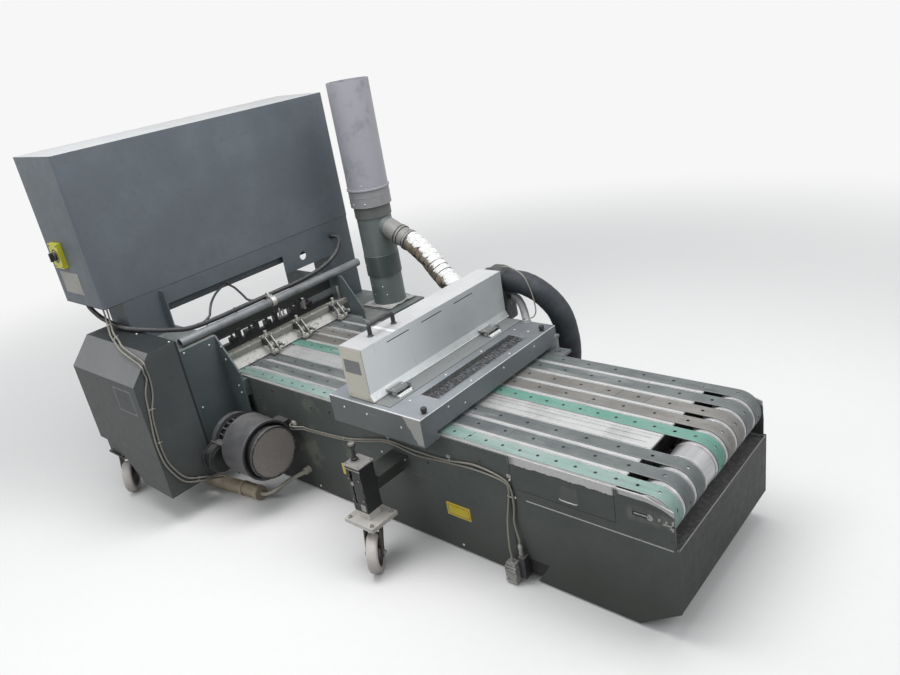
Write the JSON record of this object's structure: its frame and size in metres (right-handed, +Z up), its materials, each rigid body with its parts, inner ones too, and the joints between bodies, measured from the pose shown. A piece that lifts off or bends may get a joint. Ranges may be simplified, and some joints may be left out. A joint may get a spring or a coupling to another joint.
{
  "type": "ultraviolet sheet dryer with vacuum belt conveyor",
  "caption": "Sheet dryer for a printing line: belt table with vacuum, tilting lamp head over a bridge, portal with a control cabinet, castors and an exhaust stack.",
  "frame": {"origin": "centre of the machine's outer box, on the floor", "axes": "+X the way sheets travel to the delivery end, +Y across the table away from the operator's side, +Z up"},
  "size_m": [3.016, 1.7648, 1.735],
  "materials": {
    "cabinet_paint": "used",
    "tower_paint": "used",
    "panel_paint": "used",
    "bridge_paint": "used",
    "black_steel": "used",
    "yellow_plate": "used",
    "black_plastic": "used",
    "cream_paint": "used",
    "lamp_paint": "used",
    "stainless": "used",
    "roller_steel": "used",
    "zinc": "used",
    "belt_green": "used",
    "belt_grey": "used",
    "brush": "used",
    "wheel_rubber": "used",
    "blower_paint": "used",
    "grille_mesh": "used",
    "hose_cream": "used",
    "pale_plastic": "used",
    "duct_grey": "used",
    "hose_wrap": "used",
    "hose_black": "used",
    "cable_pale": "used",
    "cable_black": "used"
  },
  "bodies": {
    "machine": {"cabinet": "cabinet_paint", "isolator_plate": "yellow_plate", "portal": "tower_paint", "side_housing": "tower_paint", "tower": "tower_paint", "side_plates": "tower_paint", "fan_box": "tower_paint", "guide_tube": "stainless", "feed_bar": "black_steel", "guide_bar": "cream_paint", "base_body": "black_steel", "vacuum_box": "black_steel", "table_plate": "stainless", "front_panel": "panel_paint", "side_cover": "panel_paint", "back_panel": "panel_paint", "end_plates": "panel_paint", "end_tray": "panel_paint", "belts_green": "belt_green", "belts_grey": "belt_grey", "feed_roller": "roller_steel", "bridge_frame": "bridge_paint", "brush_strip": "brush", "bridge_knobs": "black_plastic", "lamp_base": "lamp_paint", "jack_box": "black_steel", "far_castors": "zinc", "blower_drum": "blower_paint", "blower_grille": "grille_mesh", "blower_motor": "black_steel", "conduit": "hose_cream", "conduit_pipe": "pale_plastic", "exhaust_stack": "duct_grey", "lamp_duct_box": "hose_black", "branch_hose": "hose_wrap", "black_hose": "hose_black", "sensor_cables": "cable_pale", "cable_plugs": "zinc", "housing_cables": "cable_pale", "cabinet_cable": "cable_black"},
    "knob": {"isolator_knob": "black_plastic"},
    "lamp": {"lamp_head": "lamp_paint", "lamp_handle": "black_plastic"},
    "delivery": {"delivery_roller": "roller_steel"},
    "holddown": {"holddown_rollers": "pale_plastic"},
    "jack": {"jack_slide": "zinc"},
    "jack_swivel_fork": {"jack_fork": "zinc"},
    "jack_tyre": {"jack_wheel": "wheel_rubber"},
    "side_swivel_fork": {"side_fork": "zinc"},
    "side_tyre": {"side_wheel": "wheel_rubber"}
  },
  "joints": [
    {"name": "isolator_turn", "type": "hinge", "parent": "machine", "child": "knob", "pos_m": [-1.372, -0.7385, 1.218], "axis": [0, -1, 0], "range_deg": [0, 90]},
    {"name": "lamp_tilt", "type": "hinge", "parent": "machine", "child": "lamp", "pos_m": [0.358, 0.0185, 0.667], "axis": [0, 1, 0], "range_deg": [0, 75]},
    {"name": "delivery_roller_turn", "type": "hinge", "parent": "machine", "child": "delivery", "pos_m": [1.413, 0.0185, 0.4653], "axis": [0, 1, 0], "continuous": true},
    {"name": "holddown_turn", "type": "hinge", "parent": "machine", "child": "holddown", "pos_m": [-0.724, 0.0185, 0.5608], "axis": [0, 1, 0], "continuous": true},
    {"name": "jack_lift", "type": "slide", "parent": "machine", "child": "jack", "axis": [0, 0, 1], "range_m": [-0.04, 0.03]},
    {"name": "jack_castor_swivel", "type": "hinge", "parent": "jack", "child": "jack_swivel_fork", "pos_m": [0.31, -0.5605, 0.2], "axis": [0, 0, 1], "continuous": true},
    {"name": "jack_wheel_roll", "type": "hinge", "parent": "jack_swivel_fork", "child": "jack_tyre", "pos_m": [0.3494, -0.61093, 0.08], "axis": [0.788, 0.6157, 0], "continuous": true},
    {"name": "side_castor_swivel", "type": "hinge", "parent": "machine", "child": "side_swivel_fork", "pos_m": [-1.277, -0.7845, 0.2], "axis": [0, 0, 1], "continuous": true},
    {"name": "side_wheel_roll", "type": "hinge", "parent": "side_swivel_fork", "child": "side_tyre", "pos_m": [-1.22657, -0.8239, 0.08], "axis": [0.6157, 0.788, 0], "continuous": true}
  ]
}
